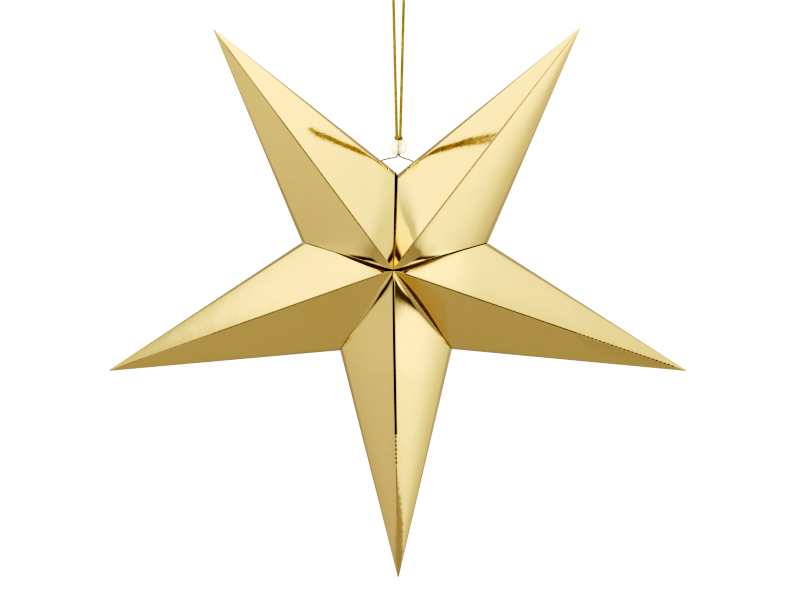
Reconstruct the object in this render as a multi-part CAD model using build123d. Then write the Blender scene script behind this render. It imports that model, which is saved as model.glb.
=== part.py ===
from build123d import *
import math
import os

# Hanging paper star of five folded card arms, point down, in millimetres and degrees.
# X runs to the right, Y away from the viewer and Z up, from the point where a hook holds the cord.

# Star, whose arms are counted from the lowest one towards the right
arm_steps = {"lower": 0, "right": 1, "upper_right": 2, "left": -1, "upper_left": -2}
lowest_direction = -90
arm_reach = 158.5  # from the hub's axis to where an arm's edges would meet
corner_reach = 49.0  # from the hub's axis to the inner corner between two arms
star_depth = 96.0  # from the front hub point to the back one
seam_angle = 1.8  # how far the unglued seam between the two upper arms stands open
hub_hole_diameter = 1.6  # left open where the arms' points meet
hub_offset = 1.0  # the hub hangs this far left of the cord

# Card
card = 0.4
fold_radius = 12.5  # of an arm's soft side fold, where the fold would cross the hub's plane
tip_blunt = 1.2  # how much of that point is missing at the arm's tip
flap_depth = 5.0  # how far a glue flap reaches below the arm's outside
flap_corner_gap = 5.0  # between the star's middle plane and the end of a flap
flap_hub_gap = 7.0  # between the hub's axis and the other end of a flap

# Slits and perforations along the front and back ridge of each arm
slit_start = 3.0
slit_reach = 83.0
slit_width = {"lower": 0.9, "left": 0.5, "right": 0.6, "upper_left": 0.45, "upper_right": 0.45}
perforation_reach = 99.0
perforation_length = 1.4
perforation_pitch = 2.2
perforation_width = 0.4

# Thread that closes the seam, its holes and its knots
thread_diameter = 0.8
thread_gap = 0.8  # from the bead's axis to each of the thread's two strands
hole_diameter = 2.4
hole_inset = 11.5  # from the inner corner, along the side fold
thread_knot_diameter = 3.4
seat_clearance = 0.05

# Bead and the tie on top of it
bead_diameter = 9.4
bead_height = 7.1
bead_bore_diameter = 2.9
bead_mouth_radius = 0.5
bead_rim = 1.1  # of the flat ring round each mouth of the bore
bead_rise = 64.2  # from the hub to the bead's centre
tie_width = 4.6
tie_thickness = 4.0
tie_height = 2.8
tie_foot = 0.3  # how much of the tie's round foot is flattened on the bead

# Cord
cord_diameter = 1.7
bend_share = 0.45  # of the shorter run beside a corner, that the rounding of the corner takes
hang_drop = 144.0  # from the hook down to the hub

# Routes of the two cords, as corners that the tubes round off
thread_route = [
    (-13.4, 0, -91.0),
    (-9.7, 0, -86.5),
    (-4.4, -0.3, -85.5),
    (-1.0, -0.65, -84.8),
    (0, -thread_gap, -83.4),
    (0, -thread_gap, -75.2),
    (0, thread_gap, -75.2),
    (0, thread_gap, -83.4),
    (1.0, 0.65, -84.7),
    (4.0, 0.3, -85.8),
    (7.9, 0, -86.9),
    (11.4, 0, -91.05),
]
cord_route = [
    (-0.9, 0, -74.4),
    (-2.7, 0, -0.73),
    (-1.12, 0, 0.85),
    (1.12, 0, 0.85),
    (2.78, 0, -0.73),
    (0.9, 0, -74.4),
]

# Worked out from the sizes above
arm_span = (360 - seam_angle) / len(arm_steps)
corner_angle = math.radians(arm_span / 2)
corner_along = corner_reach * math.cos(corner_angle)
corner_across = corner_reach * math.sin(corner_angle)
side_slope = math.atan2(corner_across, arm_reach - corner_along)
side_reach = arm_reach * math.tan(side_slope)
half_depth = star_depth / 2
fold_centre = side_reach - fold_radius
face_angle = math.atan2(fold_centre, half_depth)
face_angle += math.asin(fold_radius / math.hypot(fold_centre, half_depth))
face_slope = math.atan2(half_depth * math.sin(face_angle), arm_reach)
cut_reach = 2 * arm_reach
hub = Vector(-hub_offset, 0, -hang_drop)
bead_centre = Vector(0, 0, bead_rise - hang_drop)
bead_top = bead_centre.Z + bead_height / 2
tie_centre = Vector(0, 0, bead_top + seat_clearance + tie_height / 2 - tie_foot)
arm_directions = {name: lowest_direction + step * arm_span for name, step in arm_steps.items()}
seam_sides = {"upper_left": -1, "upper_right": 1}


def arm_outline():
    """Section of an arm in the hub's plane: a diamond with its two side corners rounded."""
    touch_across = fold_centre + fold_radius * math.cos(face_angle)
    touch_deep = fold_radius * math.sin(face_angle)
    front = (0, half_depth)
    back = (0, -half_depth)
    right_side = Line(front, (touch_across, touch_deep))
    right_side += ThreePointArc(
        (touch_across, touch_deep), (side_reach, 0), (touch_across, -touch_deep)
    )
    right_side += Line((touch_across, -touch_deep), back)
    return make_face(right_side + mirror(right_side, about=Plane.YZ))


def arm_form(setback=0.0):
    """Outside of an arm along +X, or the same form drawn back from the tip by setback."""
    tip_scale = tip_blunt / arm_reach
    hub_section = Plane(origin=(-setback, 0, 0), x_dir=(0, 0, 1), z_dir=(1, 0, 0)) * arm_outline()
    tip_plane = Plane(
        origin=(arm_reach - tip_blunt - setback, 0, 0), x_dir=(0, 0, 1), z_dir=(1, 0, 0)
    )
    tip_section = tip_plane * scale(arm_outline(), by=tip_scale)
    return loft([hub_section, tip_section], ruled=True)


def wedge(inset=0.0):
    """The arm's share of the full turn, with its two sides moved inwards by inset."""
    start = inset / math.sin(corner_angle)
    half_width = cut_reach * math.tan(corner_angle)
    corners = [(start, 0), (start + cut_reach, half_width), (start + cut_reach, -half_width)]
    return extrude(Plane.XZ * make_face(Polyline(*corners, close=True)), star_depth, both=True)


def flap_zone():
    """Where an arm's card bends inwards along its valleys, for gluing to the next arm."""
    zone = wedge() - wedge(card)
    zone -= arm_form(flap_depth / math.sin(face_slope))
    zone -= Box(cut_reach, 2 * flap_corner_gap, cut_reach)
    return zone - Rot(90, 0, 0) * Cylinder(flap_hub_gap, 2 * star_depth)


def ridge_cuts(width):
    """Slit along the front and back ridge, and the row of perforations beyond it."""
    length = slit_reach - slit_start
    cuts = Pos((slit_start + slit_reach) / 2, 0, 0) * Box(length, 2 * star_depth, width)
    count = int((perforation_reach - slit_reach) / perforation_pitch)
    for step in range(1, count + 1):
        place = Pos(slit_reach + step * perforation_pitch, 0, 0)
        cuts += place * Box(perforation_length, 2 * star_depth, perforation_width)
    return cuts


def hole_place(side):
    """Point on the arm's side fold where the thread passes, and the direction into the arm."""
    along = Vector(math.cos(side_slope), 0, -side * math.sin(side_slope))
    inwards = Vector(-math.sin(side_slope), 0, -side * math.cos(side_slope))
    return Vector(corner_along, 0, side * corner_across) + along * hole_inset, inwards


def punched_hole(side):
    """Round hole through the side fold, from outside to well within the arm."""
    point, inwards = hole_place(side)
    return Plane(origin=point, z_dir=inwards) * Cylinder(hole_diameter / 2, 4 * hole_diameter)


def card_arm(name):
    """One folded arm along +X: card walls, glue flaps, ridge cuts, and a hole beside the seam."""
    setback = card / math.sin(face_slope)
    hollow = arm_form(setback) - flap_zone()
    arm = (arm_form() & wedge()) - hollow
    arm -= Rot(90, 0, 0) * Cylinder(hub_hole_diameter / 2, 2 * star_depth)
    arm -= ridge_cuts(slit_width[name])
    if name in seam_sides:
        arm -= punched_hole(seam_sides[name])
    return arm


def set_on_hub(shape, name):
    """Turns what was drawn along +X into the arm's direction and moves it to the hub."""
    return Location(hub) * Rot(0, -arm_directions[name], 0) * shape


def knot_centre(side):
    """Where a thread knot sits behind its hole, in the arm's own frame."""
    point, inwards = hole_place(side)
    wall = card / math.sin(face_slope) * math.sin(side_slope)
    knot_radius = thread_knot_diameter / 2
    sunk = math.sqrt(knot_radius**2 - (hole_diameter / 2) ** 2)
    return point + inwards * (wall + sunk + seat_clearance)


def tube(route, diameter):
    """Round tube along straight runs joined by tangent arcs, each as large as its runs allow."""
    points = [Vector(*point) for point in route]
    runs = [b - a for a, b in zip(points, points[1:])]
    radii = []
    for before, after in zip(runs, runs[1:]):
        half_turn = math.radians(before.get_angle(after) / 2)
        radii.append(bend_share * min(before.length, after.length) / math.tan(half_turn))
    path = FilletPolyline(*points, radius=radii)
    section = Plane(origin=path @ 0, z_dir=path % 0) * Circle(diameter / 2)
    solid = sweep(section, path)
    expected = math.pi * diameter**2 / 4 * path.length
    print("tube", round(path.length, 1), "radii", [round(r, 1) for r in radii])
    print("volume against section times length", round(solid.volume / expected, 4))
    return solid


def bead_form():
    """Flattened round bead with a bore whose two mouths are rounded."""
    bore = bead_bore_diameter / 2
    flat = bore + bead_rim
    profile = Line((bore, -bead_height / 2), (flat, -bead_height / 2))
    profile += ThreePointArc(
        (flat, -bead_height / 2), (bead_diameter / 2, 0), (flat, bead_height / 2)
    )
    profile += Line((flat, bead_height / 2), (bore, bead_height / 2))
    profile += Line((bore, bead_height / 2), (bore, -bead_height / 2))
    solid = revolve(Plane.XZ * make_face(profile), Axis.Z)
    mouths = solid.edges().filter_by(GeomType.CIRCLE).filter_by(
        lambda edge: abs(edge.radius - bore) < seat_clearance
    )
    return Location(bead_centre) * fillet(mouths, bead_mouth_radius)


def tie_form():
    """Tight round tie with a flat foot on the bead, before the thread and cord are let in."""
    ball = scale(Sphere(1), by=(tie_width / 2, tie_thickness / 2, tie_height / 2))
    foot_level = tie_foot - tie_height / 2
    below = Pos(0, 0, foot_level - tie_height) * Box(2 * tie_width, 2 * tie_width, 2 * tie_height)
    return Location(tie_centre) * (ball - below)


def thread_knot(name, thread):
    """Round stopper knot behind the hole of one upper arm, around the thread."""
    knot = Pos(*knot_centre(seam_sides[name])) * Sphere(thread_knot_diameter / 2)
    return set_on_hub(knot, name) - thread


def build_star():
    """All pieces by the name of their node."""
    thread = tube(thread_route, thread_diameter)
    cord = tube(cord_route, cord_diameter)
    pieces = {f"{name}_arm": set_on_hub(card_arm(name), name) for name in arm_directions}
    pieces["closing_thread"] = thread
    pieces["left_thread_knot"] = thread_knot("upper_left", thread)
    pieces["right_thread_knot"] = thread_knot("upper_right", thread)
    pieces["bead"] = bead_form()
    pieces["cord_tie"] = tie_form() - thread - cord
    pieces["hanging_cord"] = cord
    return pieces


os.makedirs("parts", exist_ok=True)
for node, piece in build_star().items():
    export_step(piece, f"parts/{node}.step")
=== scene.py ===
import math

import bpy
import numpy as np
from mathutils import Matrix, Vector


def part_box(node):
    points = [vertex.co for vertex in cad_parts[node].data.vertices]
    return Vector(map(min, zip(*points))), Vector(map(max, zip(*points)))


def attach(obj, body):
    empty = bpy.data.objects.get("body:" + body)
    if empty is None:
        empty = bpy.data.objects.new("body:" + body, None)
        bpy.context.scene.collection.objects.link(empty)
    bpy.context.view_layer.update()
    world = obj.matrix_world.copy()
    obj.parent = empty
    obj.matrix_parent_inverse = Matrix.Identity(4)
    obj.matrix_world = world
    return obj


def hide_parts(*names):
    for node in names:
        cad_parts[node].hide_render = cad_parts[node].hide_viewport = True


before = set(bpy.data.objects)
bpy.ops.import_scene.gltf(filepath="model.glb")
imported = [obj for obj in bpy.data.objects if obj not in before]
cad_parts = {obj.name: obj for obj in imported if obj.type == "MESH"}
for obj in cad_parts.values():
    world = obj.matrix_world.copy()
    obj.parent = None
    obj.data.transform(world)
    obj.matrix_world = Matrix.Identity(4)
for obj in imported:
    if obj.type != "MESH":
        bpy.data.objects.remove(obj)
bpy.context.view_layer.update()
mm = 0.001
print("frame loaded:", len(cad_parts), "nodes")


# Camera

cameraView = {
    "azimuth": 2.0,  # degrees round to the right of straight ahead
    "elevation": -0.6,  # degrees
    "distance": 1.5,
    "aim": (0.00075, 0.0, -0.1585),
    "lens": 131.0,
}


def makeCamera(view):
    # stands on a ball round the aim point: sin a cos e to the right, cos a cos e in front, sin e above
    a, e = math.radians(view["azimuth"]), math.radians(view["elevation"])
    back = Vector((math.sin(a) * math.cos(e), -math.cos(a) * math.cos(e), math.sin(e)))
    data = bpy.data.cameras.new("camera")
    data.lens = view["lens"]
    camera = bpy.data.objects.new("camera", data)
    camera.location = Vector(view["aim"]) + back * view["distance"]
    camera.rotation_euler = back.to_track_quat("Z", "Y").to_euler()
    bpy.context.scene.collection.objects.link(camera)
    bpy.context.scene.camera = camera


makeCamera(cameraView)
print("camera placed")


# Shader maths

class Value:
    # one output of a node; arithmetic on it adds Math nodes
    def __init__(self, shader, socket):
        self.shader = shader
        self.socket = socket

    def maths(self, operation, *others):
        return self.shader.node("ShaderNodeMath", {"operation": operation}, [self, *others])

    def __add__(self, other):
        return self.maths("ADD", other)

    def __radd__(self, other):
        return self.maths("ADD", other)

    def __sub__(self, other):
        return self.maths("SUBTRACT", other)

    def __rsub__(self, other):
        return self.maths("MULTIPLY", -1.0) + other

    def __mul__(self, other):
        return self.maths("MULTIPLY", other)

    def __rmul__(self, other):
        return self.maths("MULTIPLY", other)

    def __truediv__(self, other):
        return self.maths("DIVIDE", other)

    def __rtruediv__(self, other):
        return self.maths("POWER", -1.0) * other


class Shader:
    # node tree of a material or a world, cleared and rebuilt
    def __init__(self, owner):
        owner.use_nodes = True
        self.tree = owner.node_tree
        self.tree.nodes.clear()

    def node(self, kind, settings=None, inputs=None, output=0):
        # adds one node: its settings first, then the values or links of its sockets
        made = self.tree.nodes.new(kind)
        for name, value in (settings or {}).items():
            setattr(made, name, value)
        pairs = inputs.items() if isinstance(inputs, dict) else enumerate(inputs or [])
        for place, value in pairs:
            if isinstance(value, Value):
                self.tree.links.new(value.socket, made.inputs[place])
            elif value is not None:
                made.inputs[place].default_value = value
        return Value(self, made.outputs[output]) if made.outputs else made

    def split(self, vector):
        parts = self.node("ShaderNodeSeparateXYZ", inputs=[vector])
        return [Value(self, output) for output in parts.socket.node.outputs]

    def objectPlace(self):
        return self.node("ShaderNodeTexCoord", output="Object")

    def noise(self, place, size, detail=2.0, roughness=0.5):
        inputs = {"Vector": place, "Scale": 1 / size, "Detail": detail, "Roughness": roughness}
        return self.node("ShaderNodeTexNoise", inputs=inputs)

    def mixColour(self, factor, first, second):
        # on a Mix node set to colours, sockets 6 and 7 are A and B and output 2 is the result
        inputs = {0: factor, 6: first, 7: second}
        return self.node("ShaderNodeMix", {"data_type": "RGBA"}, inputs, output=2)

    def bump(self, height, strength, distance, normal=None):
        inputs = {"Height": height, "Strength": strength, "Distance": distance, "Normal": normal}
        return self.node("ShaderNodeBump", inputs=inputs)

    def principled(self, inputs):
        surface = self.node("ShaderNodeBsdfPrincipled", inputs=inputs)
        self.node("ShaderNodeOutputMaterial", inputs={"Surface": surface})


def newMaterial(name):
    material = bpy.data.materials.new(name)
    return material, Shader(material)


# Mesh making

def gridQuads(rows, columns, closed):
    # each cell of a grid numbered row by row, as its four corners; closed joins last column and first
    row = np.arange(rows - 1)[:, None] * columns
    column = np.arange(columns if closed else columns - 1)[None, :]
    after = (column + 1) % columns
    cell = [row + column, row + after, row + columns + after, row + columns + column]
    return np.stack(cell, axis=-1).reshape(-1, 4)


def signedVolume(points, quads):
    # sum of the tetrahedra from the origin to each half of each face
    a, b, c, d = (points[quads[:, k]] for k in range(4))
    first = np.einsum("ij,ij->i", a, np.cross(b, c))
    second = np.einsum("ij,ij->i", a, np.cross(c, d))
    return (first + second).sum() / 6


def makePiece(name, points, quads, materials, slots=None, sharp=35.0, uv=None):
    # a closed mesh in millimetres becomes an object in metres: faces outwards, smooth but for sharp edges
    if signedVolume(points, quads) < 0:
        quads = quads[:, ::-1]
    mesh = bpy.data.meshes.new(name)
    mesh.vertices.add(len(points))
    mesh.vertices.foreach_set("co", (points * mm).astype(np.float32).ravel())
    mesh.loops.add(quads.size)
    mesh.loops.foreach_set("vertex_index", quads.astype(np.int32).ravel())
    mesh.polygons.add(len(quads))
    mesh.polygons.foreach_set("loop_start", np.arange(0, quads.size, 4, dtype=np.int32))
    for material in materials:
        mesh.materials.append(material)
    if slots is not None:
        mesh.polygons.foreach_set("material_index", slots.astype(np.int32))
    mesh.update(calc_edges=True)
    mesh.validate()
    if uv is not None:
        layer = mesh.uv_layers.new(name="alongRound")
        layer.data.foreach_set("uv", uv[quads.ravel()].astype(np.float32).ravel())
    mesh.polygons.foreach_set("use_smooth", np.ones(len(mesh.polygons), bool))
    mesh.set_sharp_from_angle(angle=math.radians(sharp))
    piece = bpy.data.objects.new(name, mesh)
    bpy.context.scene.collection.objects.link(piece)
    return piece


def unit(vectors):
    return vectors / np.linalg.norm(vectors, axis=-1, keepdims=True)


# Cords

hangingCord = {
    # the cord's route in the source, in metres, with one more point on each long straight, below the hook
    "route": [(-0.0009, 0, -0.0744), (-0.00245, 0, -0.011), (-0.0027, 0, -0.00073),
              (-0.00112, 0, 0.00085), (0.00112, 0, 0.00085), (0.00278, 0, -0.00073),
              (0.00252, 0, -0.011), (0.0009, 0, -0.0744)],
    "exit": (-0.0009, 0.0, -0.0744),
    "length": 0.1537,
    "diameter": 0.0017,
    "strands": 3,
    "fullness": 1.06,  # how far the strands press into each other
    "pitch": 4.2,  # millimetres for one turn of a strand
    "sides": 10,
    "ringsPerPitch": 14,
}

closingThread = {
    "route": [(-0.0134, 0, -0.091), (-0.0097, 0, -0.0865), (-0.0044, -0.0003, -0.0855),
              (-0.001, -0.00065, -0.0848), (0, -0.0008, -0.0834), (0, -0.0008, -0.0752),
              (0, 0.0008, -0.0752), (0, 0.0008, -0.0834), (0.001, 0.00065, -0.0847),
              (0.004, 0.0003, -0.0858), (0.0079, 0, -0.0869), (0.0114, 0, -0.09105)],
    "exit": (-0.0134, 0.0, -0.091),
    "length": 0.0477,
    "diameter": 0.0008,
    "strands": 3,
    "fullness": 1.25,
    "pitch": 2.2,
    "sides": 8,
    "ringsPerPitch": 10,
    "eyeLevels": (-84.5, -82.5),  # millimetres; above them the thread turns about X
}


def smoothLine(name, route):
    # points of the NURBS line that has the route as its control points, in millimetres
    curve = bpy.data.curves.new(name, "CURVE")
    curve.dimensions = "3D"
    curve.resolution_u = 24
    spline = curve.splines.new("NURBS")
    spline.points.add(len(route) - 1)
    for point, place in zip(spline.points, route):
        point.co = (*place, 1.0)
    spline.order_u = 3
    spline.use_endpoint_u = True
    holder = bpy.data.objects.new(name, curve)
    mesh = bpy.data.meshes.new_from_object(holder)
    line = np.zeros(len(mesh.vertices) * 3)
    mesh.vertices.foreach_get("co", line)
    bpy.data.objects.remove(holder)
    bpy.data.curves.remove(curve)
    bpy.data.meshes.remove(mesh)
    return line.reshape(-1, 3) / mm


def evenLine(line, count):
    # the same line with its points evenly spaced, and how far along each one is
    run = np.concatenate([[0], np.cumsum(np.linalg.norm(np.diff(line, axis=0), axis=1))])
    along = np.linspace(0, run[-1], count)
    return np.stack([np.interp(along, run, line[:, k]) for k in range(3)], axis=1), along


def softStep(x, low, high):
    t = np.clip((x - low) / (high - low), 0, 1)
    return t * t * (3 - 2 * t)


def closedTube(centres, outward, radius, sides, along):
    # circle of the radius about each centre, square to the line, whose first point lies outward; the ends are
    # closed by rings that shrink to the centre
    tangent = unit(np.gradient(centres, axis=0))
    outward = unit(outward - tangent * np.einsum("ij,ij->i", outward, tangent)[:, None])
    across = np.cross(tangent, outward)
    turn = np.linspace(0, 2 * np.pi, sides, endpoint=False)
    shrink = np.ones(len(centres))
    shrink[[0, -1]] = 0.02
    shrink[[1, -2]] = 0.75
    ring = outward[:, None] * np.cos(turn)[None, :, None]
    ring = ring + across[:, None] * np.sin(turn)[None, :, None]
    points = centres[:, None] + ring * (radius * shrink)[:, None, None]
    uv = np.stack(np.broadcast_arrays(along[:, None], turn[None, :] / (2 * np.pi)), axis=-1)
    return points.reshape(-1, 3), gridQuads(len(centres), sides, True), uv.reshape(-1, 2)


def twistedCord(name, values, reference, material):
    # each strand's centre circles the smooth line once a pitch, so far out that its edge is the cord's
    line = smoothLine(name + "Route", values["route"])
    length = np.linalg.norm(np.diff(line, axis=0), axis=1).sum()
    rings = int(length / values["pitch"] * values["ringsPerPitch"])
    line, along = evenLine(line, rings)
    tangent = unit(np.gradient(line, axis=0))
    side = unit(np.cross(tangent, reference(line)))
    other = np.cross(tangent, side)
    radius = values["diameter"] / mm / 2
    strand = radius / (1 + 1 / math.sin(math.pi / values["strands"])) * values["fullness"]
    meshes = []
    for k in range(values["strands"]):
        turn = 2 * np.pi * (along / values["pitch"] + k / values["strands"])
        outward = side * np.cos(turn)[:, None] + other * np.sin(turn)[:, None]
        centres = line + outward * (radius - strand)
        meshes.append(closedTube(centres, outward, strand, values["sides"], along))
    starts = np.cumsum([0] + [len(points) for points, _, _ in meshes])
    points = np.concatenate([points for points, _, _ in meshes])
    quads = np.concatenate([quads + start for (_, quads, _), start in zip(meshes, starts)])
    uv = np.concatenate([uv for _, _, uv in meshes])
    piece = makePiece(name, points, quads, [material], sharp=60.0, uv=uv)
    return piece, (line * mm).tolist()


def cordReference(line):
    return np.broadcast_to([0.0, 1.0, 0.0], line.shape)


def threadReference(line):
    # Y on the two runs to the holes, turning to X where the thread goes up through the bead and back
    above = softStep(line[:, 2], *closingThread["eyeLevels"])[:, None]
    return (1 - above) * np.array([0.0, 1.0, 0.0]) + above * np.array([1.0, 0.0, 0.0])


lurex = {
    "bright": (0.66, 0.51, 0.11, 1.0),
    "deep": (0.2, 0.13, 0.02, 1.0),
    "filament": 0.55,  # millimetres between the metal filaments
    "roughness": 0.35,
    "metallic": 0.15,
}
threadFinish = {
    "bright": (0.42, 0.33, 0.1, 1.0),
    "deep": (0.12, 0.09, 0.02, 1.0),
    "filament": 0.4,
    "roughness": 0.35,
    "metallic": 0.4,
}


def makeLurex(name, values):
    # metal filaments lie aslant on each strand: a wave along and round it gives their colour and relief
    material, shader = newMaterial(name)
    uv = shader.node("ShaderNodeUVMap", {"uv_map": "alongRound"})
    along, around, _ = shader.split(uv)
    wave = ((along / values["filament"] + around * 2) * (2 * math.pi)).maths("SINE")
    patch = shader.noise(shader.objectPlace(), 0.0012, detail=3.0)
    share = wave * 0.28 + patch * 1.1 - 0.05
    share = shader.node("ShaderNodeMath", {"operation": "MULTIPLY", "use_clamp": True}, [share, 1.0])
    colour = shader.mixColour(share, values["deep"], values["bright"])
    normal = shader.bump(wave, 0.6, 0.00006)
    shader.principled({"Base Color": colour, "Metallic": values["metallic"],
                       "Roughness": values["roughness"], "Normal": normal})
    return material


cordMaterial = makeLurex("cordLurex", lurex)
threadMaterial = makeLurex("threadLurex", threadFinish)

cordPiece, cordPath = twistedCord("hangingCord", hangingCord, cordReference, cordMaterial)
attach(cordPiece, "root")
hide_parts("hanging_cord")

threadPiece, threadPath = twistedCord("closingThread", closingThread, threadReference, threadMaterial)
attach(threadPiece, "root")
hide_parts("closing_thread")
print("cords made")


# Foil card

foil = {
    "colour": (0.97, 0.75, 0.4, 1.0),
    "deepColour": (0.95, 0.722, 0.365, 1.0),
    "roughness": 0.07,
    "roughnessSpread": 0.05,
    "grain": 0.0021,  # metres between the waves of the fine crinkle
    "grainDepth": 0.000009,
    "ripple": 0.011,
    "rippleDepth": 0.00003,
}
cardBack = {"colour": (0.33, 0.29, 0.24, 1.0), "roughness": 0.9}
cardEdge = {"colour": (0.86, 0.72, 0.42, 1.0), "roughness": 0.45, "metallic": 0.55}


def makeFoil(values):
    # mirror-like metal whose relief is a fine orange-peel crinkle on longer ripples
    material, shader = newMaterial("goldFoil")
    place = shader.objectPlace()
    crinkle = shader.noise(place, values["grain"], detail=1.5, roughness=0.45)
    ripple = shader.noise(place, values["ripple"], detail=1.0)
    patch = shader.noise(place, 0.03, detail=2.0)
    normal = shader.bump(ripple, 1.0, values["rippleDepth"])
    normal = shader.bump(crinkle, 1.0, values["grainDepth"], normal)
    colour = shader.mixColour(patch, values["colour"], values["deepColour"])
    spread = values["roughnessSpread"]
    roughness = crinkle * spread + (values["roughness"] - spread / 2)
    shader.principled({"Base Color": colour, "Metallic": 1.0, "Roughness": roughness, "Normal": normal})
    return material


def makeCardBack(values):
    # plain card: fibres show as a faint speckle in colour and relief
    material, shader = newMaterial("cardBack")
    fibres = shader.noise(shader.objectPlace(), 0.0008, detail=4.0, roughness=0.7)
    dark = tuple(0.75 * part for part in values["colour"][:3]) + (1.0,)
    colour = shader.mixColour(fibres, dark, values["colour"])
    normal = shader.bump(fibres, 0.5, 0.00003)
    shader.principled({"Base Color": colour, "Roughness": values["roughness"], "Normal": normal})
    return material


def makeCardEdge(values):
    # cut edge of the card, with foil dragged over part of it
    material, shader = newMaterial("cardEdge")
    drag = shader.noise(shader.objectPlace(), 0.0006, detail=3.0, roughness=0.6)
    pale = tuple(min(1.0, 1.12 * part) for part in values["colour"][:3]) + (1.0,)
    colour = shader.mixColour(drag, values["colour"], pale)
    metallic = drag * 0.5 + (values["metallic"] - 0.25)
    shader.principled({"Base Color": colour, "Metallic": metallic, "Roughness": values["roughness"]})
    return material


cardMaterials = [makeFoil(foil), makeCardBack(cardBack), makeCardEdge(cardEdge)]
foilSlot, backSlot, edgeSlot = 0, 1, 2
print("foil card mixed")


# Arms

starForm = {  # in millimetres and degrees, as in the source but for the depth and the hub's hole
    "reach": 158.5,
    "depth": 104.0,  # that the ridges point to; at the hub they sink back to the folded size of 96
    "seamAngle": 1.8,
    "hub": (-1.0, 0.0, -144.0),
    "hubHole": 0.3,
    "card": 0.4,
    "tipBlunt": 1.2,
    "flapDepth": 5.0,
    "flapCornerGap": 5.0,
    "flapHubGap": 7.0,
    "slitStart": 3.0,
}
# An arm's place is counted from the lowest one to the right, and it swings that many degrees out of it.
# Pairs are for its clockwise and its anticlockwise side:
#   corners  how far from the hub the inner corner lies
#   bows     how many degrees the face turns between ridge and fold, twice over
#   swells   how far it swells halfway along the arm
#   twists   how many degrees it has turned at the tip
#   valleys  how far the valley's card stands off the next arm
#   troughs  how fast the valley's round bottom widens from the hub, and where it ends
#   folds    the fold's radius at the hub
# The hub's dent is sink deep, and dents are its reach on the clockwise side, the ridge and the other side.
# The ridge's slit has its width, then come dashes from slitReach on, and a hairline beyond them.
arms = {
    "lower": {
        "place": 0, "swing": 0.31, "corners": (50.1, 49.3), "bows": (2.5, 4.5), "swells": (0.0, 0.0),
        "twists": (4.5, 2.0), "valleys": (0.1, 0.15), "troughs": ((0.26, 44.0), (0.34, 47.0)),
        "folds": (13.0, 13.0), "sink": 6.4, "dents": (50.0, 54.0, 60.0),
        "slit": 0.9, "slitReach": 83.0, "dashes": 99.0, "hairline": 0.3,
    },
    "right": {
        "place": 1, "swing": -0.5, "corners": (49.3, 49.6), "bows": (0.8, 2.0), "swells": (0.0, -0.3),
        "twists": (0.0, 0.0), "valleys": (0.05, 0.2), "troughs": ((0.08, 46.0), (0.22, 36.0)),
        "folds": (13.0, 14.0), "sink": 6.2, "dents": (60.0, 48.0, 26.0),
        "slit": 0.4, "slitReach": 98.0, "dashes": 151.0, "hairline": 0.0,
    },
    "upper_right": {
        "place": 2, "swing": -0.22, "corners": (49.6, 50.4), "bows": (4.5, -1.0), "swells": (-0.5, -0.3),
        "twists": (5.0, 0.0), "valleys": (0.2, -0.12), "troughs": ((0.2, 36.0), (0.0, 10.0)),
        "folds": (14.0, 15.0), "sink": 4.8, "dents": (26.0, 22.0, 60.0),
        "slit": 0.32, "slitReach": 99.0, "dashes": 99.0, "hairline": 0.4,
    },
    "left": {
        "place": -1, "swing": 0.54, "corners": (51.4, 50.1), "bows": (2.5, 0.8), "swells": (0.0, 0.0),
        "twists": (0.0, 0.0), "valleys": (0.12, 0.08), "troughs": ((0.14, 30.0), (0.16, 44.0)),
        "folds": (13.0, 13.0), "sink": 6.2, "dents": (26.0, 40.0, 50.0),
        "slit": 0.3, "slitReach": 99.0, "dashes": 99.0, "hairline": 0.3,
    },
    "upper_left": {
        "place": -2, "swing": 0.29, "corners": (51.8, 51.4), "bows": (0.4, 0.8), "swells": (0.0, 0.0),
        "twists": (0.0, 0.0), "valleys": (-0.12, 0.15), "troughs": ((0.0, 10.0), (0.26, 46.0)),
        "folds": (14.0, 13.0), "sink": 4.8, "dents": (50.0, 20.0, 26.0),
        "slit": 0.28, "slitReach": 99.0, "dashes": 99.0, "hairline": 0.32,
    },
}
seamSides = {"upper_right": 1, "upper_left": -1}  # the side that faces the seam
perforation = {"pitch": 2.2, "length": 1.4, "width": 0.4}
panelGrid = {
    "ridgeSteps": (0.0, 0.08, 0.18, 0.32, 0.55, 1.0),  # millimetres from the ridge's cut edge
    "flankSteps": 40,
    "foldSteps": 20,
    "bendSteps": 9,
    "rowGap": 2.4,
    "closeRows": (14.0, 0.6),  # how far from the hub the rows are closer, and their gap
    "cutStep": 0.03,  # from a cut's end to the rows beside it
    "troughSlope": 0.83,  # of a face, away from its valley
    "edgeCurl": 0.06,  # how far the foil's cut edge rolls in
    "curlWidth": 0.35,
    "bendRadius": 0.35,  # of the card's bend into a flap
    "taper": 5.0,  # over which a slit widens from its start
    "backReach": 100.0,  # beyond which the back ridge is closed
    "backShare": 0.6,  # of the front cut's width that the back one keeps
    "flapRows": (0.3, 0.65, 1.0),  # shares of the flap's depth
}
armSpan = (360 - starForm["seamAngle"]) / len(arms)
halfDepth = starForm["depth"] / 2


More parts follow.
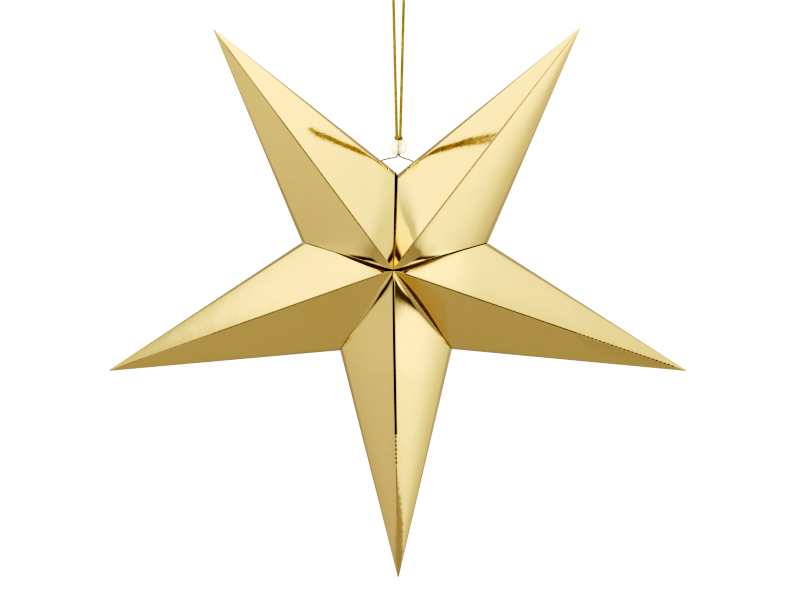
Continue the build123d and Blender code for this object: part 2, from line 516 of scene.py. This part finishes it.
def sideOutline(values, side):
    # Section of one side of an arm at the hub: share 0 to 1 is the front flank, an arc that turns by twice
    # the bow; 1 to 2 is the fold, an arc tangent to both flanks; 2 to 3 is the back flank. Returns a function
    # that gives points (across, deep) and outward normals, half the arm's angle, and the flank's length.
    pick = 1 if side > 0 else 0
    halfSpan = math.radians(armSpan / 2 - side * values["swing"])
    corner, bow = values["corners"][pick], math.radians(values["bows"][pick])
    reach = starForm["reach"]
    sideReach = reach * corner * math.sin(halfSpan) / (reach - corner * math.cos(halfSpan))
    fold = values["folds"][pick]
    centre = sideReach - fold
    faceAngle = math.atan2(centre, halfDepth) + math.asin(fold / math.hypot(centre, halfDepth))
    touch = np.array([centre + fold * math.cos(faceAngle), -fold * math.sin(faceAngle)])
    chord = math.hypot(touch[0], touch[1] + halfDepth)
    flankRadius = chord / (2 * math.sin(bow))
    foldAngle = faceAngle - bow
    foldRadius = -touch[1] / math.sin(foldAngle)

    def direction(turn):
        return np.stack([np.cos(turn), np.sin(turn)], axis=-1)

    def outline(share):
        flank = np.clip(1 - share, 0, 1) - np.clip(share - 2, 0, 1)
        turn = foldAngle * (2 * np.clip(share, 1, 2) - 3) - 2 * bow * flank
        normal = direction(turn)
        foldCentre = touch[0] - foldRadius * math.cos(foldAngle)
        onFold = np.stack([np.full_like(turn, foldCentre), 0 * turn], axis=-1) + foldRadius * normal
        ends = np.where(flank > 0, 1.0, -1.0)
        onFlank = np.stack([np.full_like(turn, touch[0]), touch[1] * ends], axis=-1)
        onFlank = onFlank + flankRadius * (normal - direction(-foldAngle * ends))
        return np.where((flank == 0)[..., None], onFold, onFlank), normal

    return outline, halfSpan, chord


def openingWidth(along, values):
    # width of the ridge's cut at each distance from the hub: slit, then dashes, then a hairline that closes
    start = starForm["slitStart"]
    width = values["slit"] * softStep(along, start, start + panelGrid["taper"])
    width = np.where(along < values["slitReach"], width, 0.0)
    pitch = perforation["pitch"]
    step = np.mod(along - values["slitReach"], pitch) - pitch / 2
    cut = (np.abs(step) < perforation["length"] / 2)
    cut &= (along > values["slitReach"]) & (along < values["dashes"])
    width = np.where(cut, perforation["width"], width)
    beyond = values["hairline"] * np.clip(1 - along / starForm["reach"], 0, 1) ** 0.5
    return np.where(along >= values["dashes"], beyond, width)


def ridgeRows(values):
    # distances from the hub of the grid's rows at the ridge: even, closer by the hub, and close on both sides
    # of each cut's ends
    far, gap = panelGrid["closeRows"]
    tip = starForm["reach"] - starForm["tipBlunt"]
    close = np.arange(starForm["hubHole"], far, gap)
    rows = np.concatenate([close, np.arange(far, tip, panelGrid["rowGap"])])
    count = int(max(0.0, values["dashes"] - values["slitReach"]) / perforation["pitch"] + 1e-6)
    middles = values["slitReach"] + (np.arange(count) + 0.5) * perforation["pitch"]
    half = perforation["length"] / 2
    ends = np.concatenate([middles - half, middles + half, [values["slitReach"]]])
    beside = panelGrid["cutStep"]
    clear = np.abs(rows[:, None] - ends[None, :]).min(axis=1) > 4 * beside
    return np.sort(np.concatenate([rows[clear], ends - beside, ends + beside, [tip]]))[::-1]


def flankColumns(flank, spread, openHalf, width, scale, chord):
    # shares of the flank's columns: near a ridge they keep their distance from the cut edge until the arm
    # gets too narrow, and the rest share out what is left
    near = len(spread)
    start = openHalf[:, None] / (width * scale)
    offset = np.concatenate([spread, np.ones(len(flank) - near)])
    kept = start + panelGrid["ridgeSteps"][-1] * offset[None, :] / (chord * scale)
    kept = np.minimum(kept, 0.25 + 0.02 * offset)
    last = kept[:, near - 1:near]
    rest = (flank - flank[near - 1]) / (1 - flank[near - 1])
    return np.where(np.arange(len(flank))[None, :] < near, kept, last + (1 - last) * rest[None, :])


def shapeFace(cone, values, side, halfSpan, shares, progress):
    # how far the face's depth moves, front and back alike: it swells as a sine along the arm, turns more and
    # more towards the tip, sinks by the hub as the square of what is left of the dent's reach, and rises
    # off the valley as a hyperbola whose half width is the trough's
    pick = 1 if side > 0 else 0
    facing = np.cos(np.pi * np.clip(shares - 1, 0, 1))
    swell = values["swells"][pick] * np.sin(np.pi * progress)[:, None]
    across = np.minimum(np.minimum(shares, 3 - shares), 1)
    dent = values["dents"][1] + (values["dents"][1 + side] - values["dents"][1]) * across
    sink = values["sink"] * np.clip(1 - cone[..., 0] / dent, 0, 1) ** 2
    twist = math.radians(values["twists"][pick]) * progress[:, None] * cone[..., 1]
    fromValley = cone[..., 0] * math.sin(halfSpan) - cone[..., 1] * math.cos(halfSpan)
    alongValley = cone[..., 0] * math.cos(halfSpan) + cone[..., 1] * math.sin(halfSpan)
    size, reachOut = values["troughs"][pick]
    trough = size * alongValley * np.clip(1 - alongValley / reachOut, 0, 1) ** 1.5
    rise = panelGrid["troughSlope"] * (np.hypot(fromValley, trough) - fromValley)
    return facing * (sink - swell + twist - rise)


def glueFlap(end, steady, wedge, radius, hubDistance):
    # from the face's last row and its normals, an arc into the wedge's plane and three rows straight down in
    # it; the flap gets narrow by the hub and by the star's middle plane
    bendAngle = np.arccos(steady @ wedge)
    toValley = unit(wedge - steady * (steady @ wedge)[:, None])
    arc = (np.linspace(0, 1, panelGrid["bendSteps"] + 1)[1:, None] * bendAngle)[..., None]
    ease = softStep(hubDistance, 0.0, 1.5)[:, None]
    bend = end + radius[:, None] * ease * (toValley * np.sin(arc) - steady * (1 - np.cos(arc)))
    bendNormals = steady * np.cos(arc) + toValley * np.sin(arc)
    down = toValley * np.cos(bendAngle)[:, None] - steady * np.sin(bendAngle)[:, None]
    hubGap, cornerGap = starForm["flapHubGap"], starForm["flapCornerGap"]
    depth = np.maximum(starForm["flapDepth"] - radius * bendAngle, 0.3)
    depth = depth * softStep(hubDistance, hubGap - 2, hubGap + 1)
    depth = depth * softStep(np.abs(end[:, 2]), cornerGap - 2, cornerGap + 2) + 0.15
    flap = bend[-1] + down * depth[:, None] * np.array(panelGrid["flapRows"])[:, None, None]
    return np.concatenate([bend, flap]), np.concatenate([bendNormals, np.broadcast_to(wedge, flap.shape)])


def cardInside(outside, outwards, thick, middle, isFace):
    # the card's thickness below the outside; what would pass the ridge's middle slides back along the face
    inside = outside - outwards * thick[..., None]
    short = np.maximum(middle - inside[..., 1], 0) * isFace
    steep = outwards[..., 1] / np.where(np.abs(outwards[..., 2]) < 0.1, np.inf, outwards[..., 2])
    inside[..., 1] += short
    inside[..., 2] -= short * steep
    return inside


def panelFaces(rings, columns, faceRows):
    # quads round the closed rings and across both ends, with each one's material: foil outside, bare card
    # inside and on the flap, and the worn edge on cut edges, bend and ends
    half = columns // 2
    kinds = np.full(columns, foilSlot)
    kinds[half:] = backSlot
    kinds[[half - 1, columns - 1]] = edgeSlot
    slots = np.tile(kinds, (rings - 1, 1))
    bendEnd = faceRows - 1 + panelGrid["bendSteps"]
    slots[faceRows - 1:bendEnd, :half - 1] = edgeSlot
    slots[bendEnd:, :half - 1] = backSlot
    step = np.arange(half - 1)
    tipEnd = np.stack([step, columns - 1 - step, columns - 2 - step, step + 1], axis=-1)
    flapEnd = tipEnd[:, ::-1] + (rings - 1) * columns
    quads = np.concatenate([gridQuads(rings, columns, True), tipEnd, flapEnd])
    return quads, np.concatenate([slots.ravel(), np.full(2 * len(step), edgeSlot)])


def armPanel(values, side, seam=False):
    # Card between an arm's front and back ridge on one side, as rings (outside, then inside back again).
    # Along the arm the outside is a cone from the tip over the outline, then an arc into the wedge's plane
    # and a straight flap in it; the inside lies the card's thickness below.
    pick = 1 if side > 0 else 0
    reach = starForm["reach"]
    outline, halfSpan, chord = sideOutline(values, side)
    tipScale = starForm["tipBlunt"] / reach
    rows = ridgeRows(values)
    near = np.array(panelGrid["ridgeSteps"])
    far = np.linspace(near[-1] / chord, 1, panelGrid["flankSteps"])[1:]
    flank = np.concatenate([near / chord, far])
    fold = np.linspace(1, 2, panelGrid["foldSteps"])[1:-1]
    share = np.concatenate([flank, fold, (3 - flank)[::-1]])
    wedge = np.array([-math.sin(halfSpan), math.cos(halfSpan), 0.0])

    # where each column reaches the valley, and how round it bends there
    flat, normal = outline(share)
    tilt = np.einsum("ij,ij->i", flat, normal) / reach
    bendAngle = np.arccos(unit(np.stack([tilt, normal[:, 0], normal[:, 1]], axis=-1)) @ wedge)
    tipToPlane = reach * math.sin(halfSpan)
    spread = tipToPlane + flat[:, 0] * math.cos(halfSpan)
    hubDistance = reach * (1 - tipToPlane / spread) / math.cos(halfSpan)
    radius = np.minimum(panelGrid["bendRadius"], 0.02 + 0.3 * hubDistance)
    behind = softStep(share, 1.2, 1.8)
    gap = values["valleys"][pick] * softStep(hubDistance, 4.0, 20.0) * (1 - behind)
    if seam:
        # behind the folds the thread pulls the two arms together
        gap -= hubDistance * math.sin(math.radians(starForm["seamAngle"] / 2)) * behind
    inset = radius * (1 - np.cos(bendAngle)) + 0.02 + gap
    limit = np.minimum((tipToPlane - inset) / spread, 1 - starForm["hubHole"] / reach)
    progress = np.clip((limit[0] - (1 - rows / reach)) / (limit[0] - tipScale), 0, 1)
    scale = limit[None, :] + (tipScale - limit)[None, :] * progress[:, None]

    # the face's columns draw back from the ridge's openings
    openHalf = openingWidth(rows, values) / 2
    backHalf = np.where(rows < panelGrid["backReach"], panelGrid["backShare"] * openHalf, 0.0)
    narrow = scale[:, :len(flank)]
    width = flat[len(flank) - 1, 0]
    front = flankColumns(flank, near / near[-1], openHalf, width, narrow, chord)
    back = flankColumns(flank, near / near[-1], backHalf, width, narrow, chord)
    onFold = np.broadcast_to(fold, (len(rows), len(fold)))
    shares = np.concatenate([front, onFold, 3 - back[:, ::-1]], axis=1)
    section, turned = outline(shares)
    cone = np.stack([reach * (1 - scale), section[..., 0] * scale, section[..., 1] * scale], axis=-1)
    cone[..., 2] += shapeFace(cone, values, side, halfSpan, shares, progress)
    coneNormal = unit(np.cross(np.gradient(cone, axis=0), np.gradient(cone, axis=1)))
    coneNormal *= np.sign(np.einsum("ijk,ijk->ij", coneNormal[..., 1:], turned))[..., None]

    flap, flapNormals = glueFlap(cone[-1], coneNormal[-1], wedge, radius, hubDistance)
    outside = np.concatenate([cone, flap])
    outwards = np.concatenate([coneNormal, flapNormals])

    # the foil's cut edges roll in a little
    fromEdge = np.minimum(np.linalg.norm(outside - outside[:, :1], axis=-1),
                          np.linalg.norm(outside - outside[:, -1:], axis=-1))
    rolled = np.clip(1 - fromEdge / panelGrid["curlWidth"], 0, 1) ** 2
    taper = np.concatenate([scale, np.repeat(scale[-1:], len(flap), axis=0)])
    curl = panelGrid["edgeCurl"] * np.minimum(1, taper * 6) * rolled
    outside = outside - outwards * curl[..., None]

    # inside of the card, whose edges stay as far from the ridge's middle as the foil's
    thick = np.minimum(starForm["card"], 0.8 * width * taper)
    onBack = (np.arange(len(share)) > len(share) // 2)[None, :]
    middle = np.where(onBack, backHalf[:, None], openHalf[:, None])
    middle = np.concatenate([middle, np.zeros((len(flap), len(share)))])
    isFace = (np.arange(len(outside)) < len(rows))[:, None]
    inside = cardInside(outside, outwards, thick, middle, isFace)

    ring = np.concatenate([outside, inside[:, ::-1]], axis=1)
    ring[..., 1] *= side
    quads, slots = panelFaces(len(ring), ring.shape[1], len(rows))
    return ring.reshape(-1, 3), quads, slots


def makeArm(name, values):
    # two panels that meet at the ridges, turned into the arm's direction and set on the hub
    halves = [armPanel(values, side, seamSides.get(name) == side) for side in (1, -1)]
    start = len(halves[0][0])
    points = np.concatenate([half[0] for half in halves])
    quads = np.concatenate([halves[0][1], halves[1][1][:, ::-1] + start])
    slots = np.concatenate([half[2] for half in halves])
    direction = math.radians(-90 + values["place"] * armSpan + values["swing"])
    along = np.array([math.cos(direction), 0, math.sin(direction)])
    across = np.array([-math.sin(direction), 0, math.cos(direction)])
    deep = np.array([0.0, 1.0, 0.0])
    placed = points[:, :1] * along + points[:, 1:2] * across + points[:, 2:] * deep
    placed = placed + np.array(starForm["hub"])
    arm = makePiece(name + "Arm", placed, quads, cardMaterials, slots)
    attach(arm, "root")
    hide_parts(name + "_arm")
    return arm


threadHoles = {  # in the two folds beside the seam: centre, and direction into the arm
    "radius": 1.2,
    "reach": (-3.2, 4.8),  # of the tube that is taken out, from the centre
    "sides": 20,
    "upper_left": ((-10.63, 0.0, -87.68), (-0.638, 0.0, -0.77)),
    "upper_right": ((8.63, 0.0, -87.68), (0.638, 0.0, -0.77)),
}


def punchHole(arm, centre, inwards, values):
    # a capped tube through the fold is taken out of the arm
    steps = np.linspace(*values["reach"], 9)
    line = np.array(centre) + steps[:, None] * unit(np.array(inwards))
    points, quads, _ = closedTube(line, cordReference(line), values["radius"], values["sides"], steps)
    cutter = makePiece("hole", points, quads, cardMaterials, np.full(len(quads), edgeSlot))
    cut = arm.modifiers.new("hole", "BOOLEAN")
    cut.operation = "DIFFERENCE"
    cut.solver = "EXACT"
    cut.object = cutter
    seen = arm.evaluated_get(bpy.context.evaluated_depsgraph_get())
    punched = bpy.data.meshes.new_from_object(seen)
    arm.modifiers.clear()
    arm.data = punched
    bpy.data.objects.remove(cutter)


for armName, armValues in arms.items():
    madeArm = makeArm(armName, armValues)
    if armName in seamSides:
        punchHole(madeArm, *threadHoles[armName], threadHoles)
print("arms folded")


# Bead, tie and knots

bead = {
    "centre": (0.0, 0.0, -79.8),
    "diameter": 9.4,
    "height": 7.1,
    "bore": 2.9,
    "rim": 1.1,
    "mouth": 0.5,
    "turnSteps": 72,
    "outerSteps": 33,
    "mouthSteps": 7,
    "colour": (0.96, 0.92, 0.8, 1.0),
    "deepColour": (0.9, 0.84, 0.66, 1.0),
    "roughness": (0.2, 0.3),
    "ior": 1.14,
    "clearness": 0.75,
}


def makeMilkyPlastic(values):
    # pale plastic that lets the light and the thread in it through, cloudier here and there
    material, shader = newMaterial("milkyPlastic")
    cloud = shader.noise(shader.objectPlace(), 0.004, detail=3.0)
    low, high = values["roughness"]
    colour = shader.mixColour(cloud, values["deepColour"], values["colour"])
    shader.principled({"Base Color": colour, "Roughness": cloud * (high - low) + low,
                       "IOR": values["ior"], "Transmission Weight": values["clearness"]})
    return material


def makeBead(values):
    # profile carried round Z: outer arc through the rims and the waist, flat rims, rounded mouths, bore
    bore, half = values["bore"] / 2, values["height"] / 2
    swell = values["diameter"] / 2 - bore - values["rim"]
    arcRadius = (half ** 2 + swell ** 2) / (2 * swell)
    reachUp = math.asin(half / arcRadius)
    turn = np.linspace(-reachUp, reachUp, values["outerSteps"])
    arcCentre = values["diameter"] / 2 - arcRadius
    outer = np.stack([arcCentre + arcRadius * np.cos(turn), arcRadius * np.sin(turn)], axis=1)
    mouth = values["mouth"]
    quarter = np.linspace(0, math.pi / 2, values["mouthSteps"])
    top = np.stack([bore + mouth - mouth * np.sin(quarter), half - mouth + mouth * np.cos(quarter)], axis=1)
    bottom = np.stack([top[::-1, 0], -top[::-1, 1]], axis=1)
    across, up = np.concatenate([outer, top, bottom]).T
    angle = np.linspace(0, 2 * np.pi, values["turnSteps"], endpoint=False)[:, None]
    rings = np.broadcast_arrays(across * np.cos(angle), across * np.sin(angle), up)
    points = np.stack(rings, axis=-1).reshape(-1, 3) + np.array(values["centre"])
    quads = gridQuads(len(angle) + 1, len(across), True) % len(points)
    piece = makePiece("beadBody", points, quads, [makeMilkyPlastic(values)], sharp=50.0)
    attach(piece, "root")
    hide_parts("bead")
    return piece


tieKnot = {
    "node": "cord_tie",
    "cord": 0.62,  # the cord's radius where it is pulled tight
    "rings": 150,
    "sides": 12,
}


def makeTie(values):
    # a trefoil of cord pulled tight: x = sin t + 2 sin 2t, y = cos t - 2 cos 2t, z = -sin 3t, fitted to the
    # tie's box in the frame
    low, high = (np.array(corner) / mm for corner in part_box(values["node"]))
    t = np.linspace(0, 2 * np.pi, values["rings"], endpoint=False)
    line = np.stack([np.sin(t) + 2 * np.sin(2 * t), np.cos(t) - 2 * np.cos(2 * t), -np.sin(3 * t)], axis=1)
    span = line.max(axis=0) - line.min(axis=0)
    room = (high - low) - 2 * values["cord"]
    centres = (line - (line.max(axis=0) + line.min(axis=0)) / 2) / span * room + (low + high) / 2
    tangent = unit(np.roll(centres, -1, axis=0) - np.roll(centres, 1, axis=0))
    outward = centres - (low + high) / 2
    outward = unit(outward - tangent * np.einsum("ij,ij->i", outward, tangent)[:, None])
    across = np.cross(tangent, outward)
    turn = np.linspace(0, 2 * np.pi, values["sides"], endpoint=False)
    ring = outward[:, None] * np.cos(turn)[None, :, None]
    ring = ring + across[:, None] * np.sin(turn)[None, :, None]
    points = (centres[:, None] + values["cord"] * ring).reshape(-1, 3)
    quads = gridQuads(values["rings"] + 1, values["sides"], True) % (values["rings"] * values["sides"])
    length = np.linalg.norm(np.roll(centres, -1, axis=0) - centres, axis=1).sum()
    along = np.linspace(0, length, values["rings"])
    uv = np.stack(np.broadcast_arrays(along[:, None], turn[None, :] / (2 * np.pi)), axis=-1)
    piece = makePiece("cordTie", points, quads, [cordMaterial], sharp=60.0, uv=uv.reshape(-1, 2))
    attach(piece, "root")
    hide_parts(values["node"])
    return piece


def paintKnot(node):
    # the stopper knots behind the holes keep their solids, in wound thread
    material, shader = newMaterial("woundThread")
    inputs = {"Vector": shader.objectPlace(), "Scale": 420.0, "Distortion": 3.0, "Detail": 2.0}
    wound = shader.node("ShaderNodeTexWave", {"wave_type": "BANDS"}, inputs, output=1)
    colour = shader.mixColour(wound, threadFinish["deep"], threadFinish["bright"])
    shader.principled({"Base Color": colour, "Metallic": 0.8, "Roughness": 0.38,
                       "Normal": shader.bump(wound, 0.8, 0.0001)})
    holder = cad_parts[node]
    holder.data.materials.clear()
    holder.data.materials.append(material)


makeBead(bead)
makeTie(tieKnot)
for knotNode in ("left_thread_knot", "right_thread_knot"):
    paintKnot(knotNode)
print("bead, tie and knots made")


# Studio

studio = {
    "backdrop": 1.6,
    "ground": 0.46,
    "sky": (0.67, 0.84),  # far left and far right
    "horizon": (-0.4, -0.24),  # heights between which the ground's light gives way to the sky's
    # black flags beside the star, seen round the hub's dent: share of light left, and the depths at which
    # they start, are full, and end
    "flags": (0.1, 0.085, -0.03, -0.13, -0.19),
    "front": (0.7, -0.42, -0.6),  # share of light left in front, and the depths between which it fades
    "behind": (0.58, 0.21, 0.59),
    # soft panels: direction, strength, and the degrees within which each is full and beyond which it ends
    "panels": [
        ((-0.25, 0.15, 0.96), 0.55, 24, 27),
        ((0.2, 0.22, 0.95), 0.55, 15, 26),
        ((0.97, 0.0, -0.18), 0.45, 9, 22),
    ],
    "floorLevel": -0.75,
    "floorRings": (0.0, 0.7, 1.4),
    "floorSteps": 64,
    "floorColour": (0.43, 0.42, 0.4, 1.0),
    # soft light on what is not a mirror: place, side in metres and watts
    "lamps": [((-0.9, -1.5, 0.6), 0.9, 26.0), ((0.8, -1.4, 0.2), 0.7, 8.0)],
    # how scene light becomes picture brightness, both linear: blacks sink and the bright end is compressed
    "curveWhite": 1.8,
    "curve": [(0.0, 0.0), (0.07, 0.002), (0.13, 0.032), (0.234, 0.156), (0.416, 0.402), (0.59, 0.61),
              (0.739, 0.716), (0.885, 0.807), (1.05, 0.888), (1.27, 1.0), (1.8, 1.0)],
}


def makeStudio(values):
    # light from each direction: ground below the horizon and sky above it, panels, flags, and less light in
    # front and behind
    world = bpy.data.worlds.new("studio")
    bpy.context.scene.world = world
    shader = Shader(world)
    toward = shader.node("ShaderNodeTexCoord", output="Generated")
    x, y, z = shader.split(toward)
    smooth = {"interpolation_type": "SMOOTHSTEP"}

    def step(value, start, end, low, high):
        return shader.node("ShaderNodeMapRange", smooth, [value, start, end, low, high])

    def disc(direction, whole, end, outside, inside):
        # outside's value beyond the end angle from the direction, inside's within the whole angle
        size = math.sqrt(sum(part * part for part in direction))
        pointed = tuple(part / size for part in direction)
        operation = {"operation": "DOT_PRODUCT"}
        along = shader.node("ShaderNodeVectorMath", operation, [toward, pointed], output=1)
        return step(along, math.cos(math.radians(end)), math.cos(math.radians(whole)), outside, inside)

    sky = step(x, -1.0, 1.0, *values["sky"])
    share = step(z, *values["horizon"], 0.0, 1.0)
    light = (sky - values["ground"]) * share + values["ground"]
    for direction, strength, whole, end in values["panels"]:
        light = light + disc(direction, whole, end, 0.0, strength)
    left, begins, full, ends, clear = values["flags"]
    flag = step(y, full, begins, 1.0, 0.0) * step(y, clear, ends, 0.0, 1.0)
    light = light * (1.0 - flag * (1.0 - left))
    left, begins, far = values["front"]
    light = light * step(y, far, begins, left, 1.0)
    left, begins, far = values["behind"]
    light = light * step(y, begins, far, 1.0, left)
    plain = (1.0, 1.0, 1.0, 1.0)
    soft = shader.node("ShaderNodeBackground", inputs={"Color": plain, "Strength": light})
    white = shader.node("ShaderNodeBackground", inputs={"Color": plain, "Strength": values["backdrop"]})
    direct = shader.node("ShaderNodeLightPath", output="Is Camera Ray")
    through = shader.node("ShaderNodeLightPath", output="Is Transmission Ray")
    seen = shader.node("ShaderNodeMath", {"operation": "MAXIMUM"}, [direct, through])
    both = shader.node("ShaderNodeMixShader", inputs=[seen, soft, white])
    shader.node("ShaderNodeOutputWorld", inputs={"Surface": both})


def makeFloor(values):
    # a flat disc: rings of a polar grid, the first of them a point
    turn = np.linspace(0, 2 * np.pi, values["floorSteps"], endpoint=False)
    radius = np.array(values["floorRings"])[:, None]
    disc = np.broadcast_arrays(radius * np.cos(turn), radius * np.sin(turn), values["floorLevel"])
    points = np.stack(disc, axis=-1).reshape(-1, 3) / mm
    material, shader = newMaterial("paleFloor")
    tone = shader.noise(shader.objectPlace(), 0.4)
    dark = tuple(0.96 * part for part in values["floorColour"][:3]) + (1.0,)
    colour = shader.mixColour(tone, dark, values["floorColour"])
    shader.principled({"Base Color": colour, "Roughness": 0.8})
    quads = gridQuads(len(radius), values["floorSteps"], True)
    makePiece("floor", points, quads, [material])


def makeLamps(values):
    # square lamps that look at the star and are left out of reflections
    for place, size, power in values["lamps"]:
        data = bpy.data.lights.new("lamp", "AREA")
        data.size = size
        data.energy = power
        lamp = bpy.data.objects.new("lamp", data)
        lamp.location = place
        fromStar = Vector(place) - Vector(cameraView["aim"])
        lamp.rotation_euler = fromStar.to_track_quat("Z", "Y").to_euler()
        lamp.visible_glossy = False
        bpy.context.scene.collection.objects.link(lamp)


def setTone(values):
    scene = bpy.context.scene
    scene.view_settings.view_transform = "Standard"
    scene.view_settings.use_curve_mapping = True
    mapping = scene.view_settings.curve_mapping
    mapping.white_level = (values["curveWhite"],) * 3
    curve = mapping.curves[3]
    first, *middle, last = values["curve"]
    curve.points[0].location = (first[0] / values["curveWhite"], first[1])
    curve.points[-1].location = (last[0] / values["curveWhite"], last[1])
    for light, shown in middle:
        curve.points.new(light / values["curveWhite"], shown)
    mapping.update()


makeStudio(studio)
makeFloor(studio)
makeLamps(studio)
setTone(studio)
print("studio lit")
